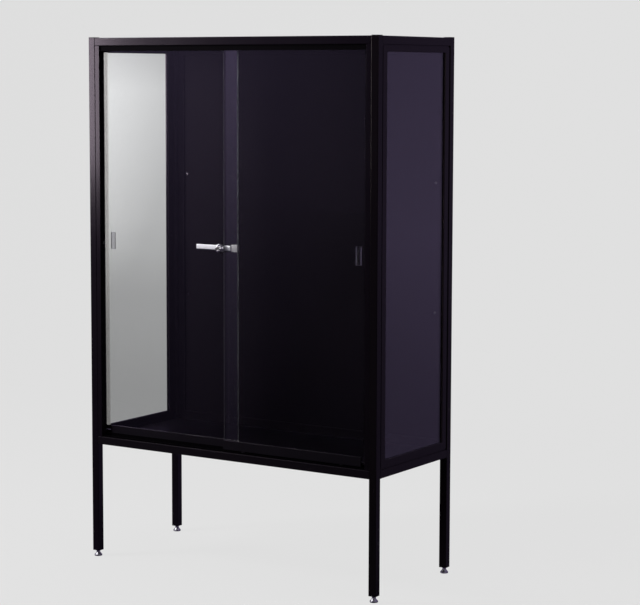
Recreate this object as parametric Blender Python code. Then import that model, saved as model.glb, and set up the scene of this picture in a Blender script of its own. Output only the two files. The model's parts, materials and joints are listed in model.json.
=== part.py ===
"""Free-standing showcase cabinet: a square-tube frame on levelling feet, glazed sides, a solid back,
and two glass doors that slide on rollers and are held shut by a ratchet lock.

Metres, +Z up. The front faces -Y, and the origin is on the floor under the middle of the cabinet.
"""

import math

import bmesh
import bpy

# Overall size
WIDTH = 0.900
DEPTH = 0.375
HEIGHT = 1.400

# Clearance between pieces that touch
CLEAR = 0.0003

# Frame of square tube
TUBE = 0.021
TUBE_WALL = 0.0012
TUBE_CORNER = 0.0016
CASE_BOTTOM = 0.310
CAP_PLATE = 0.0012
CAP_PLUG = 0.012

# Levelling feet, each screwed into a nut block welded in the end of a leg
FOOT_HEIGHT = 0.016
NUT_BLOCK = 0.014
STUD_DIAMETER = 0.008
STUD_LENGTH = 0.036
FOOT_RIM_DIAMETER = 0.021
FOOT_RIM_HEIGHT = 0.0042
FOOT_NECK_DIAMETER = 0.0105

# Side glazing, measured inwards from the frame opening and from the outer side plane
GLASS = 0.005
GLASS_EDGE_GAP = 0.001
BEAD_GROOVE = 0.0035
BEAD_GROOVE_DEPTH = 0.0021
BEAD_SIDE = 0.0235
BEAD_TOP = 0.0175
BEAD_BOTTOM = 0.0225
BEAD_SETBACK = 0.001
OUTER_BEAD = 0.0037
INNER_BEAD = 0.0047
BEAD_EASE = 0.0008
BEAD_SCREW_DIAMETER = 0.0035
BEAD_SCREW_HEAD = 0.0072
BEAD_SCREW_HEAD_HEIGHT = 0.0018
BEAD_SCREW_HEIGHT = 0.853
BEAD_SCREW_INSET = 0.018

# Back, floor and top
BACK_SETBACK = 0.003
BACK_PANEL = 0.003
BACK_BEAD_WIDTH = 0.021
BOARD = 0.015
BOARD_DROP = 0.0003
TOP_DROP = 0.002
SOCKET_INSET = 0.051
SOCKET_LOWER = 0.686
SOCKET_UPPER = 1.025
SOCKET_FLANGE_DIAMETER = 0.0075
SOCKET_FLANGE = 0.001
SOCKET_SHANK_DIAMETER = 0.0055
SOCKET_BORE_DIAMETER = 0.0035

# Door lanes, measured back from the front plane
OUTER_LANE = 0.010
LANE_PITCH = 0.013
DOOR_OVERLAP = 0.0355
DOOR_LIFT_ROOM = 0.003

# Jambs beside the front posts
JAMB_WIDTH = 0.0132
JAMB_WALL = 0.0015
JAMB_SETBACK = 0.0005

# Tracks
TRACK_SETBACK = 0.0045
TRACK_DEPTH = 0.029
TRACK_BASE = 0.002
RUN_RIB_WIDTH = 0.002
RUN_RIB_HEIGHT = 0.0012
TRACK_LIP = 0.0015
TRACK_LIP_HEIGHT = 0.0015
DIVIDER_WIDTH = 0.002
DIVIDER_HEIGHT = 0.0082
REAR_LIP_HEIGHT = 0.003
UPPER_TRACK_HEIGHT = 0.0132
UPPER_SLOT = 0.007

# Door shoes and rollers
SHOE_WIDTH = 0.009
SHOE_HEIGHT = 0.024
SHOE_LIFT = 0.0037
SHOE_WEB = 0.0024
SHOE_END_INSET = 0.0495
SHOE_OVERHANG = 0.0015
ROLLER_DIAMETER = 0.012
ROLLER_GROOVE_DIAMETER = 0.010
ROLLER_WIDTH = 0.004
ROLLER_GROOVE_WIDTH = 0.0027
ROLLER_SIDE_GAP = 0.0007
ROLLER_INSET = 0.060
AXLE_DIAMETER = 0.0025

# Edge seals, finger pulls and the bumper
SEAL_WALL = 0.001
SEAL_NOSE = 0.0032
SEAL_NOSE_GAP = 0.0015
SEAL_REACH = 0.0265
PULL_WIDTH = 0.0150
PULL_HEIGHT = 0.0460
PULL_DEPTH = 0.0022
PULL_RIM = 0.0014
PULL_FLOOR = 0.0008
PULL_INSET = 0.060
PULL_CENTRE = 0.861
PULL_CORNER = 0.0010
BUMPER_DIAMETER = 0.008
BUMPER_THICKNESS = 0.0025
BUMPER_HEIGHT = 0.855
BUMPER_LANE_OFFSET = 0.002

# Ratchet lock
LOCK_HEIGHT = 0.858
BAR_RISE = 0.0016
BAR_HEIGHT = 0.0125
BAR_THICKNESS = 0.002
BAR_REACH = 0.0925
TOOTH_PITCH = 0.003
TOOTH_DEPTH = 0.0011
TOOTH_RUN = 0.072
HOOK_HEIGHT = 0.019
HOOK_PLATE = 0.0211
HOOK_LIP = 0.012
HOOK_JOGGLE = 0.0025
BARREL_DIAMETER = 0.025
BARREL_COLLAR = 0.0095
BARREL_NOSE_DIAMETER = 0.0135
PLUG_DIAMETER = 0.010
PLUG_LENGTH = 0.0117
KEYWAY_WIDTH = 0.0012
KEYWAY_HEIGHT = 0.0065
KEYWAY_DEPTH = 0.004

# Facets
CORNER_STEPS = 4
ROUND_STEPS = 32
SMALL_STEPS = 20

# Positions that follow from the sizes above
LEFT = -WIDTH / 2
RIGHT = WIDTH / 2
FRONT = -DEPTH / 2
REAR = DEPTH / 2
POST_TOP = HEIGHT - CAP_PLATE - CLEAR
RAIL_UNDER_TOP = POST_TOP - TUBE
CASE_FLOOR = CASE_BOTTOM + TUBE
INNER_LANE = OUTER_LANE + LANE_PITCH
OUTER_CENTRE = OUTER_LANE + GLASS / 2
INNER_CENTRE = INNER_LANE + GLASS / 2
TRACK_BOTTOM = CASE_FLOOR + CLEAR
TRACK_FACE = TRACK_BOTTOM + TRACK_BASE
RUN_TOP = TRACK_FACE + RUN_RIB_HEIGHT
ROLLER_CENTRE = RUN_TOP + CLEAR + ROLLER_GROOVE_DIAMETER / 2
SHOE_BOTTOM = TRACK_FACE + SHOE_LIFT
ROLLER_POCKET = ROLLER_CENTRE + ROLLER_DIAMETER / 2 + CLEAR
SHOE_SEAT = ROLLER_POCKET + SHOE_WEB
SHOE_TOP = SHOE_BOTTOM + SHOE_HEIGHT
UPPER_TRACK_TOP = RAIL_UNDER_TOP - CLEAR
UPPER_TRACK_MOUTH = UPPER_TRACK_TOP - UPPER_TRACK_HEIGHT
PANE_BOTTOM = SHOE_SEAT + CLEAR
PANE_TOP = UPPER_TRACK_TOP - TRACK_BASE - DOOR_LIFT_ROOM
JAMB_INSET = TUBE + CLEAR + JAMB_WIDTH
SEAL_START = TUBE + SEAL_NOSE_GAP
PANE_EDGE = SEAL_START + SEAL_NOSE + CLEAR
BARREL_BACK = INNER_LANE - SEAL_WALL - 2 * CLEAR
BAR_BACK = BARREL_BACK - 0.6 * BAR_THICKNESS
BAR_FRONT = BAR_BACK - BAR_THICKNESS
OUTER_PANE_END = -DOOR_OVERLAP / 2
INNER_PANE_END = DOOR_OVERLAP / 2
BARREL_X = OUTER_PANE_END - CLEAR - BARREL_DIAMETER / 2
BAR_CENTRE = LOCK_HEIGHT + BAR_RISE
BAR_END = OUTER_PANE_END - BAR_REACH


def clear_scene():
    for obj in list(bpy.data.objects):
        bpy.data.objects.remove(obj, do_unlink=True)


def finish_material(name, colour, roughness, metallic=0.0, transmission=0.0):
    material = bpy.data.materials.new(name)
    material.use_nodes = True
    shader = material.node_tree.nodes["Principled BSDF"]
    shader.inputs["Base Color"].default_value = (*colour, 1.0)
    shader.inputs["Roughness"].default_value = roughness
    shader.inputs["Metallic"].default_value = metallic
    shader.inputs["Transmission Weight"].default_value = transmission
    return material


def empty(name, location):
    obj = bpy.data.objects.new(name, None)
    obj.location = location
    bpy.context.scene.collection.objects.link(obj)
    return obj


def add_object(name, shape, material, parent=None, origin=(0.0, 0.0, 0.0), smooth=False):
    """Turns a bmesh in world coordinates into an object whose origin is at the given point."""
    bmesh.ops.remove_doubles(shape, verts=shape.verts, dist=1e-6)
    bmesh.ops.recalc_face_normals(shape, faces=shape.faces)
    bmesh.ops.translate(shape, verts=shape.verts, vec=[-value for value in origin])
    mesh = bpy.data.meshes.new(name)
    shape.to_mesh(mesh)
    shape.free()
    if smooth:
        mesh.shade_smooth()
        mesh.set_sharp_from_angle(angle=math.radians(35))
    obj = bpy.data.objects.new(name, mesh)
    obj.data.materials.append(material)
    bpy.context.scene.collection.objects.link(obj)
    if parent is not None:
        obj.parent = parent
        origin = [value - base for value, base in zip(origin, parent.location)]
    obj.location = origin
    return obj


def boolean(obj, shape, operation, name):
    """Joins or cuts with a hidden helper whose bmesh is in world coordinates."""
    helper = add_object(f"{obj.name}_{name}", shape, obj.data.materials[0])
    helper.hide_render = True
    helper.display_type = "WIRE"
    modifier = obj.modifiers.new(name, "BOOLEAN")
    modifier.operation = operation
    modifier.solver = "EXACT"
    modifier.object = helper


def placed(axis, along, first, second):
    """A point from its place along an axis and its two profile coordinates, in X, Y, Z order."""
    if axis == "X":
        return (along, first, second)
    if axis == "Y":
        return (first, along, second)
    return (first, second, along)


def prism(axis, start, end, outline, bore=None):
    """An outline carried along an axis. A bore with as many points as the outline leaves it open through."""
    shape = bmesh.new()
    rings = []
    for along in (start, end):
        for loop in (outline, bore):
            if loop is not None:
                rings.append([shape.verts.new(placed(axis, along, a, b)) for a, b in loop])
    walls = [(rings[0], rings[1])]
    if bore is not None:
        walls = [(rings[0], rings[2]), (rings[1], rings[3]), (rings[0], rings[1]), (rings[2], rings[3])]
    for near, far in walls:
        count = len(near)
        for i in range(count):
            shape.faces.new((near[i], near[(i + 1) % count], far[(i + 1) % count], far[i]))
    if bore is None:
        shape.faces.new(rings[0])
        shape.faces.new(rings[1])
    return shape


def rectangle(low_a, high_a, low_b, high_b):
    return [(low_a, low_b), (high_a, low_b), (high_a, high_b), (low_a, high_b)]


def rounded_rectangle(low_a, high_a, low_b, high_b, radius, steps=CORNER_STEPS):
    points = []
    corners = (
        (high_a - radius, high_b - radius),
        (low_a + radius, high_b - radius),
        (low_a + radius, low_b + radius),
        (high_a - radius, low_b + radius),
    )
    for quarter, (a, b) in enumerate(corners):
        for step in range(steps + 1):
            angle = math.pi / 2 * (quarter + step / steps)
            points.append((a + radius * math.cos(angle), b + radius * math.sin(angle)))
    return points


def box(low, high):
    return prism("Z", low[2], high[2], rectangle(low[0], high[0], low[1], high[1]))


def turned(axis, centre, profile, steps=ROUND_STEPS):
    """A profile of (radius, place along the axis) turned round the axis through the centre.

    A profile that starts and ends on the axis gives a solid; any other closes on itself as a ring.
    """
    shape = bmesh.new()
    rings = []
    for radius, along in profile:
        if radius == 0.0:
            rings.append([shape.verts.new(placed(axis, along, *centre))])
            continue
        ring = []
        for step in range(steps):
            angle = 2 * math.pi * step / steps
            first = centre[0] + radius * math.cos(angle)
            second = centre[1] + radius * math.sin(angle)
            ring.append(shape.verts.new(placed(axis, along, first, second)))
        rings.append(ring)
    pairs = list(zip(rings, rings[1:]))
    if len(rings[0]) > 1:
        pairs.append((rings[-1], rings[0]))
    for near, far in pairs:
        for step in range(steps):
            after = (step + 1) % steps
            corners = [near[step % len(near)], near[after % len(near)], far[after % len(far)], far[step % len(far)]]
            shape.faces.new(list(dict.fromkeys(corners)))
    return shape


def picture_frame(axis, opening, loops):
    """A mitred frame: each loop gives its inset from the four sides of the opening and its place along the axis."""
    low_a, high_a, low_b, high_b = opening
    shape = bmesh.new()
    rings = []
    for (side, bottom, top), along in loops:
        corners = rectangle(low_a + side, high_a - side, low_b + bottom, high_b - top)
        rings.append([shape.verts.new(placed(axis, along, a, b)) for a, b in corners])
    for near, far in zip(rings, rings[1:] + rings[:1]):
        for i in range(4):
            shape.faces.new((near[i], near[(i + 1) % 4], far[(i + 1) % 4], far[i]))
    return shape


def comb(low, high, root, face, ribs):
    """The outline of a flat bar from root to face with ribs, each given as (from, to, tip), in rising order."""
    points = [(low, root), (high, root)]
    for start, end, tip in reversed(ribs):
        points += [(end, face), (end, tip), (start, tip), (start, face)]
    return points


def add_tube(name, axis, start, end, corner_a, corner_b, material, parent):
    outline = rounded_rectangle(corner_a, corner_a + TUBE, corner_b, corner_b + TUBE, TUBE_CORNER)
    bore = rounded_rectangle(
        corner_a + TUBE_WALL,
        corner_a + TUBE - TUBE_WALL,
        corner_b + TUBE_WALL,
        corner_b + TUBE - TUBE_WALL,
        TUBE_CORNER / 2,
    )
    return add_object(name, prism(axis, start, end, outline, bore), material, parent)


def corner_posts():
    """The four posts as (name, lower X corner, lower Y corner)."""
    for depth_name, y in (("front", FRONT), ("rear", REAR - TUBE)):
        for side_name, x in (("left", LEFT), ("right", RIGHT - TUBE)):
            yield f"{depth_name}_{side_name}", x, y


def build_posts(paint, plastic, zinc, parent):
    for place, x, y in corner_posts():
        middle = (x + TUBE / 2, y + TUBE / 2)
        post = add_tube(f"post_{place}", "Z", FOOT_HEIGHT, POST_TOP, x, y, paint, parent)
        half = TUBE / 2 - TUBE_WALL / 2
        block = box(
            (middle[0] - half, middle[1] - half, FOOT_HEIGHT + TUBE_WALL / 2),
            (middle[0] + half, middle[1] + half, FOOT_HEIGHT + NUT_BLOCK),
        )
        boolean(post, block, "UNION", "nut_block")
        stud_hole = [
            (0.0, FOOT_HEIGHT - TUBE_WALL),
            (STUD_DIAMETER / 2 + CLEAR, FOOT_HEIGHT - TUBE_WALL),
            (STUD_DIAMETER / 2 + CLEAR, FOOT_HEIGHT + NUT_BLOCK + TUBE_WALL),
            (0.0, FOOT_HEIGHT + NUT_BLOCK + TUBE_WALL),
        ]
        boolean(post, turned("Z", middle, stud_hole, SMALL_STEPS), "DIFFERENCE", "stud_hole")
        build_cap(place, x, y, plastic, parent)
        build_foot(place, middle, zinc)


def build_cap(place, x, y, plastic, parent):
    """A pressed-in cap: a plate over the tube's end and a plug inside it."""
    plate = rounded_rectangle(x, x + TUBE, y, y + TUBE, TUBE_CORNER)
    inset = TUBE_WALL + CLEAR
    plug = rounded_rectangle(x + inset, x + TUBE - inset, y + inset, y + TUBE - inset, TUBE_CORNER / 2)
    cap = add_object(f"post_cap_{place}", prism("Z", HEIGHT - CAP_PLATE, HEIGHT, plate), plastic, parent)
    boolean(cap, prism("Z", POST_TOP - CAP_PLUG, HEIGHT - CAP_PLATE / 2, plug), "UNION", "plug")


def build_foot(place, middle, zinc):
    """A turned levelling foot: a rim on the floor, a cone up to a collar under the leg, and the stud."""
    neck_top = FOOT_HEIGHT - CLEAR
    cone_top = FOOT_RIM_HEIGHT + 0.6 * (neck_top - FOOT_RIM_HEIGHT)
    rim = FOOT_RIM_DIAMETER / 2
    neck = FOOT_NECK_DIAMETER / 2
    profile = [
        (0.0, 0.0),
        (rim - 0.04 * FOOT_RIM_DIAMETER, 0.0),
        (rim, 0.2 * FOOT_RIM_HEIGHT),
        (rim, 0.8 * FOOT_RIM_HEIGHT),
        (rim - 0.04 * FOOT_RIM_DIAMETER, FOOT_RIM_HEIGHT),
        (neck, cone_top),
        (neck, neck_top),
        (STUD_DIAMETER / 2, neck_top),
        (STUD_DIAMETER / 2, neck_top + STUD_LENGTH),
        (0.0, neck_top + STUD_LENGTH),
    ]
    shape = turned("Z", middle, profile, SMALL_STEPS)
    add_object(f"levelling_foot_{place}", shape, zinc, None, (*middle, 0.0), smooth=True)


def build_rails(paint, parent):
    start_x = LEFT + TUBE + CLEAR
    start_y = FRONT + TUBE + CLEAR
    for level, z in (("bottom", CASE_BOTTOM), ("top", RAIL_UNDER_TOP)):
        for place, y in (("front", FRONT), ("rear", REAR - TUBE)):
            add_tube(f"rail_{level}_{place}", "X", start_x, -start_x, y, z, paint, parent)
        for place, x in (("left", LEFT), ("right", RIGHT - TUBE)):
            add_tube(f"rail_{level}_{place}", "Y", start_y, -start_y, x, z, paint, parent)


def build_sides(glass, paint, screw, parent):
    """Each side pane is held between a grooved outer bead and a plain inner bead."""
    opening = (FRONT + TUBE + CLEAR, REAR - TUBE - CLEAR, CASE_FLOOR + CLEAR, RAIL_UNDER_TOP - CLEAR)
    edge = (0.0, 0.0, 0.0)
    groove = (BEAD_GROOVE,) * 3
    rim = (BEAD_SIDE, BEAD_BOTTOM, BEAD_TOP)
    eased = tuple(value - BEAD_EASE for value in rim)
    bead_back = BEAD_SETBACK + OUTER_BEAD
    pane_front = bead_back + CLEAR
    inner_front = pane_front + GLASS + CLEAR
    inner_back = inner_front + INNER_BEAD
    for side, edge_x, inward in (("left", LEFT, 1), ("right", RIGHT, -1)):
        outer = [
            (edge, edge_x + inward * bead_back),
            (edge, edge_x + inward * (BEAD_SETBACK + BEAD_GROOVE_DEPTH)),
            (groove, edge_x + inward * (BEAD_SETBACK + BEAD_GROOVE_DEPTH)),
            (groove, edge_x + inward * BEAD_SETBACK),
            (eased, edge_x + inward * BEAD_SETBACK),
            (rim, edge_x + inward * (BEAD_SETBACK + BEAD_EASE)),
            (rim, edge_x + inward * bead_back),
        ]
        inner = [
            (edge, edge_x + inward * inner_front),
            (rim, edge_x + inward * inner_front),
            (rim, edge_x + inward * (inner_back - BEAD_EASE)),
            (eased, edge_x + inward * inner_back),
            (edge, edge_x + inward * inner_back),
        ]
        add_object(f"side_outer_bead_{side}", picture_frame("X", opening, outer), paint, parent)
        inner_bead = add_object(f"side_inner_bead_{side}", picture_frame("X", opening, inner), paint, parent)
        low_y, high_y, low_z, high_z = opening
        pane = rectangle(
            low_y + GLASS_EDGE_GAP, high_y - GLASS_EDGE_GAP, low_z + GLASS_EDGE_GAP, high_z - GLASS_EDGE_GAP
        )
        start = edge_x + inward * pane_front
        add_object(f"side_glass_{side}", prism("X", start, start + inward * GLASS, pane), glass, parent)
        build_bead_screw(side, inner_bead, edge_x + inward * inner_back, inward, screw, parent)


def build_bead_screw(side, bead, face_x, inward, screw, parent):
    """A pan-head screw through the rear upright of an inner bead."""
    centre = (REAR - TUBE - BEAD_SCREW_INSET, BEAD_SCREW_HEIGHT)
    shank = BEAD_SCREW_DIAMETER / 2
    head = BEAD_SCREW_HEAD / 2
    under = face_x + inward * CLEAR
    tip = face_x - inward * (INNER_BEAD - CLEAR)
    profile = [
        (0.0, tip),
        (shank, tip),
        (shank, under),
        (head, under),
        (head, under + inward * 0.45 * BEAD_SCREW_HEAD_HEIGHT),
        (0.65 * head, under + inward * BEAD_SCREW_HEAD_HEIGHT),
        (0.0, under + inward * BEAD_SCREW_HEAD_HEIGHT),
    ]
    hole_radius = shank + CLEAR
    hole = [
        (0.0, face_x - inward * 2 * INNER_BEAD),
        (hole_radius, face_x - inward * 2 * INNER_BEAD),
        (hole_radius, face_x + inward * INNER_BEAD),
        (0.0, face_x + inward * INNER_BEAD),
    ]
    boolean(bead, turned("X", centre, hole, SMALL_STEPS), "DIFFERENCE", "screw_hole")
    add_object(f"bead_screw_{side}", turned("X", centre, profile, SMALL_STEPS), screw, parent, smooth=True)


def build_back(paint, metal, parent):
    """A flat back panel inside the rear frame, a bead round it, and shelf sockets through it."""
    opening = (LEFT + TUBE + CLEAR, RIGHT - TUBE - CLEAR, CASE_FLOOR + CLEAR, RAIL_UNDER_TOP - CLEAR)
    panel_back = REAR - BACK_SETBACK
    panel_front = panel_back - BACK_PANEL
    panel = add_object("back_panel", prism("Y", panel_front, panel_back, rectangle(*opening)), paint, parent)
    rim = (BACK_BEAD_WIDTH,) * 3
    eased = (BACK_BEAD_WIDTH - BEAD_EASE,) * 3
    edge = (0.0, 0.0, 0.0)
    bead_back = panel_front - CLEAR
    bead_front = bead_back - INNER_BEAD
    loops = [
        (edge, bead_back),
        (rim, bead_back),
        (rim, bead_front + BEAD_EASE),
        (eased, bead_front),
        (edge, bead_front),
    ]
    add_object("back_bead", picture_frame("Y", opening, loops), paint, parent)
    for side, x in (("left", LEFT + SOCKET_INSET), ("right", RIGHT - SOCKET_INSET)):
        for level, z in (("lower", SOCKET_LOWER), ("upper", SOCKET_UPPER)):
            build_socket(f"shelf_socket_{level}_{side}", (x, z), panel, panel_front, metal, parent)


def build_socket(name, centre, panel, panel_front, metal, parent):
    """A flanged threaded bush in a hole through the back panel, open at the front."""
    shank = SOCKET_SHANK_DIAMETER / 2
    flange = SOCKET_FLANGE_DIAMETER / 2
    bore = SOCKET_BORE_DIAMETER / 2
    seat = panel_front - CLEAR
    face = seat - SOCKET_FLANGE
    tail = panel_front + BACK_PANEL
    profile = [
        (bore, face),
        (flange, face),
        (flange, seat),
        (shank, seat),
        (shank, tail),
        (bore, tail),
    ]
    hole = [
        (0.0, panel_front - BACK_PANEL),
        (shank + CLEAR, panel_front - BACK_PANEL),
        (shank + CLEAR, panel_front + 2 * BACK_PANEL),
        (0.0, panel_front + 2 * BACK_PANEL),
    ]
    boolean(panel, turned("Y", centre, hole, SMALL_STEPS), "DIFFERENCE", name)
    add_object(name, turned("Y", centre, profile, SMALL_STEPS), metal, parent, smooth=True)


def build_boards(board, parent):
    """The floor and the top: boards let in between the rails."""
    half_x = WIDTH / 2 - TUBE - CLEAR
    half_y = DEPTH / 2 - TUBE - CLEAR
    for name, top in (("floor_board", CASE_FLOOR - BOARD_DROP), ("top_board", POST_TOP - TOP_DROP)):
        shape = box((-half_x, -half_y, top - BOARD), (half_x, half_y, top))
        add_object(name, shape, board, parent)


def build_jambs(paint, rubber, parent):
    """Channels beside the front posts. The left one is deep enough to meet the inner door."""
    depths = {"left": INNER_LANE, "right": OUTER_LANE}
    for side, edge_x, inward in (("left", LEFT, 1), ("right", RIGHT, -1)):
        near = edge_x + inward * (TUBE + CLEAR)
        far = edge_x + inward * JAMB_INSET
        wall = inward * JAMB_WALL
        face = FRONT + JAMB_SETBACK
        back = FRONT + depths[side] - SEAL_WALL - 2 * CLEAR
        outline = [
            (near, face),
            (far, face),
            (far, back),
            (far - wall, back),
            (far - wall, face + JAMB_WALL),
            (near + wall, face + JAMB_WALL),
            (near + wall, back),
            (near, back),
        ]
        shape = prism("Z", CASE_FLOOR + CLEAR, UPPER_TRACK_TOP, outline)
        add_object(f"jamb_{side}", shape, paint, parent)
    seat = LEFT + JAMB_INSET + CLEAR
    tip = seat + BUMPER_THICKNESS
    round_edge = 0.3 * BUMPER_THICKNESS
    radius = BUMPER_DIAMETER / 2
    profile = [
        (0.0, seat),
        (radius, seat),
        (radius, tip - round_edge),
        (radius - round_edge, tip),
        (0.0, tip),
    ]
    centre = (FRONT + OUTER_CENTRE + BUMPER_LANE_OFFSET, BUMPER_HEIGHT)
    add_object("door_bumper", turned("X", centre, profile, SMALL_STEPS), rubber, parent, smooth=True)


def build_tracks(aluminium, parent):
    """Double tracks between the jambs: runners below, guide slots above."""
    half = WIDTH / 2 - JAMB_INSET - CLEAR
    low = FRONT + TRACK_SETBACK
    high = low + TRACK_DEPTH
    lanes = [FRONT + OUTER_CENTRE, FRONT + INNER_CENTRE]
    middle = sum(lanes) / 2
    rib = RUN_RIB_WIDTH / 2
    lower_ribs = [
        (low, low + TRACK_LIP, TRACK_FACE + TRACK_LIP_HEIGHT),
        (lanes[0] - rib, lanes[0] + rib, RUN_TOP),
        (middle - DIVIDER_WIDTH / 2, middle + DIVIDER_WIDTH / 2, TRACK_FACE + DIVIDER_HEIGHT),
        (lanes[1] - rib, lanes[1] + rib, RUN_TOP),
        (high - TRACK_LIP, high, TRACK_FACE + REAR_LIP_HEIGHT),
    ]
    lower = comb(low, high, TRACK_BOTTOM, TRACK_FACE, lower_ribs)
    add_object("lower_track", prism("X", -half, half, lower), aluminium, parent)
    slot = UPPER_SLOT / 2
    upper_ribs = [
        (low, lanes[0] - slot, UPPER_TRACK_MOUTH),
        (lanes[0] + slot, lanes[1] - slot, UPPER_TRACK_MOUTH),
        (lanes[1] + slot, high, UPPER_TRACK_MOUTH),
    ]
    upper = comb(low, high, UPPER_TRACK_TOP, UPPER_TRACK_TOP - TRACK_BASE, upper_ribs)
    add_object("upper_track", prism("X", -half, half, upper), aluminium, parent)


def build_door(side, finishes, parent):
    """One sliding door: pane, shoe, rollers, edge seal and finger pull."""
    inward = 1 if side == "left" else -1
    edge_x = -inward * WIDTH / 2
    lane = INNER_LANE if side == "left" else OUTER_LANE
    pane_end = INNER_PANE_END if side == "left" else OUTER_PANE_END
    front = FRONT + lane
    centre_y = front + GLASS / 2
    pane_start = edge_x + inward * PANE_EDGE
    span = sorted((pane_start, pane_end))
    pane_shape = box((span[0], front, PANE_BOTTOM), (span[1], front + GLASS, PANE_TOP))
    pane = add_object(f"door_glass_{side}", pane_shape, finishes["glass"], parent)
    build_pull(side, pane, edge_x + inward * PULL_INSET, front, finishes["acrylic"], parent)

    shoe_start = edge_x + inward * SHOE_END_INSET
    shoe_end = pane_end + inward * SHOE_OVERHANG
    build_shoe(side, sorted((shoe_start, shoe_end)), centre_y, finishes, parent)

    outer = GLASS / 2 + CLEAR + SEAL_WALL
    inner = GLASS / 2 + CLEAR
    nose = edge_x + inward * SEAL_START
    root = nose + inward * SEAL_NOSE
    end = nose + inward * SEAL_REACH
    outline = [
        (nose, centre_y - outer / 2),
        (nose + inward * SEAL_NOSE / 2, centre_y - outer),
        (end, centre_y - outer),
        (end, centre_y - inner),
        (root, centre_y - inner),
        (root, centre_y + inner),
        (end, centre_y + inner),
        (end, centre_y + outer),
        (nose + inward * SEAL_NOSE / 2, centre_y + outer),
        (nose, centre_y + outer / 2),
    ]
    shape = prism("Z", SHOE_TOP + CLEAR, UPPER_TRACK_MOUTH - DOOR_LIFT_ROOM, outline)
    add_object(f"edge_seal_{side}", shape, finishes["vinyl"], parent)


def build_pull(side, pane, centre_x, front, acrylic, parent):
    """A shallow finger cup let into a pocket in the pane."""

    def outline(inset):
        half_width = PULL_WIDTH / 2 - inset
        half_height = PULL_HEIGHT / 2 - inset
        return rounded_rectangle(
            centre_x - half_width,
            centre_x + half_width,
            PULL_CENTRE - half_height,
            PULL_CENTRE + half_height,
            PULL_CORNER,
        )

    pocket = prism("Y", front - PULL_DEPTH, front + PULL_DEPTH, outline(0.0))
    boolean(pane, pocket, "DIFFERENCE", "pull_pocket")
    cup = prism("Y", front, front + PULL_DEPTH - CLEAR, outline(CLEAR))
    pull = add_object(f"finger_pull_{side}", cup, acrylic, parent)
    hollow = prism("Y", front - PULL_DEPTH, front + PULL_DEPTH - CLEAR - PULL_FLOOR, outline(CLEAR + PULL_RIM))
    boolean(pull, hollow, "DIFFERENCE", "finger_hollow")


def build_shoe(side, span, centre_y, finishes, parent):
    """A channel on the lower edge of the pane, with two rollers on pins in the pocket under it."""
    half = SHOE_WIDTH / 2
    pocket = ROLLER_WIDTH / 2 + ROLLER_SIDE_GAP
    slot = GLASS / 2 + CLEAR
    outline = [
        (centre_y - half, SHOE_BOTTOM),
        (centre_y - pocket, SHOE_BOTTOM),
        (centre_y - pocket, ROLLER_POCKET),
        (centre_y + pocket, ROLLER_POCKET),
        (centre_y + pocket, SHOE_BOTTOM),
        (centre_y + half, SHOE_BOTTOM),
        (centre_y + half, SHOE_TOP),
        (centre_y + slot, SHOE_TOP),
        (centre_y + slot, SHOE_SEAT),
        (centre_y - slot, SHOE_SEAT),
        (centre_y - slot, SHOE_TOP),
        (centre_y - half, SHOE_TOP),
    ]
    shoe = add_object(f"door_shoe_{side}", prism("X", *span, outline), finishes["aluminium"], parent)
    pin = AXLE_DIAMETER / 2
    pin_end = (half + pocket) / 2
    for place, x in (("outer", span[0] + ROLLER_INSET), ("inner", span[1] - ROLLER_INSET)):
        centre = (x, ROLLER_CENTRE)
        axle = [
            (0.0, centre_y - pin_end),
            (pin, centre_y - pin_end),
            (pin, centre_y + pin_end),
            (0.0, centre_y + pin_end),
        ]
        boolean(shoe, turned("Y", centre, axle, SMALL_STEPS), "UNION", f"axle_{place}")
        build_roller(f"door_roller_{side}_{place}", centre, centre_y, finishes["nylon"], parent)


def build_roller(name, centre, centre_y, nylon, parent):
    """A grooved roller, with a bore that clears its pin."""
    bore = AXLE_DIAMETER / 2 + CLEAR
    flange = ROLLER_DIAMETER / 2
    groove = ROLLER_GROOVE_DIAMETER / 2
    half = ROLLER_WIDTH / 2
    half_groove = ROLLER_GROOVE_WIDTH / 2
    profile = [
        (bore, centre_y - half),
        (flange, centre_y - half),
        (flange, centre_y - half_groove - 0.25 * (half - half_groove)),
        (groove, centre_y - half_groove),
        (groove, centre_y + half_groove),
        (flange, centre_y + half_groove + 0.25 * (half - half_groove)),
        (flange, centre_y + half),
        (bore, centre_y + half),
    ]
    origin = (centre[0], centre_y, centre[1])
    add_object(name, turned("Y", centre, profile, SMALL_STEPS), nylon, parent, origin, smooth=True)


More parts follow.
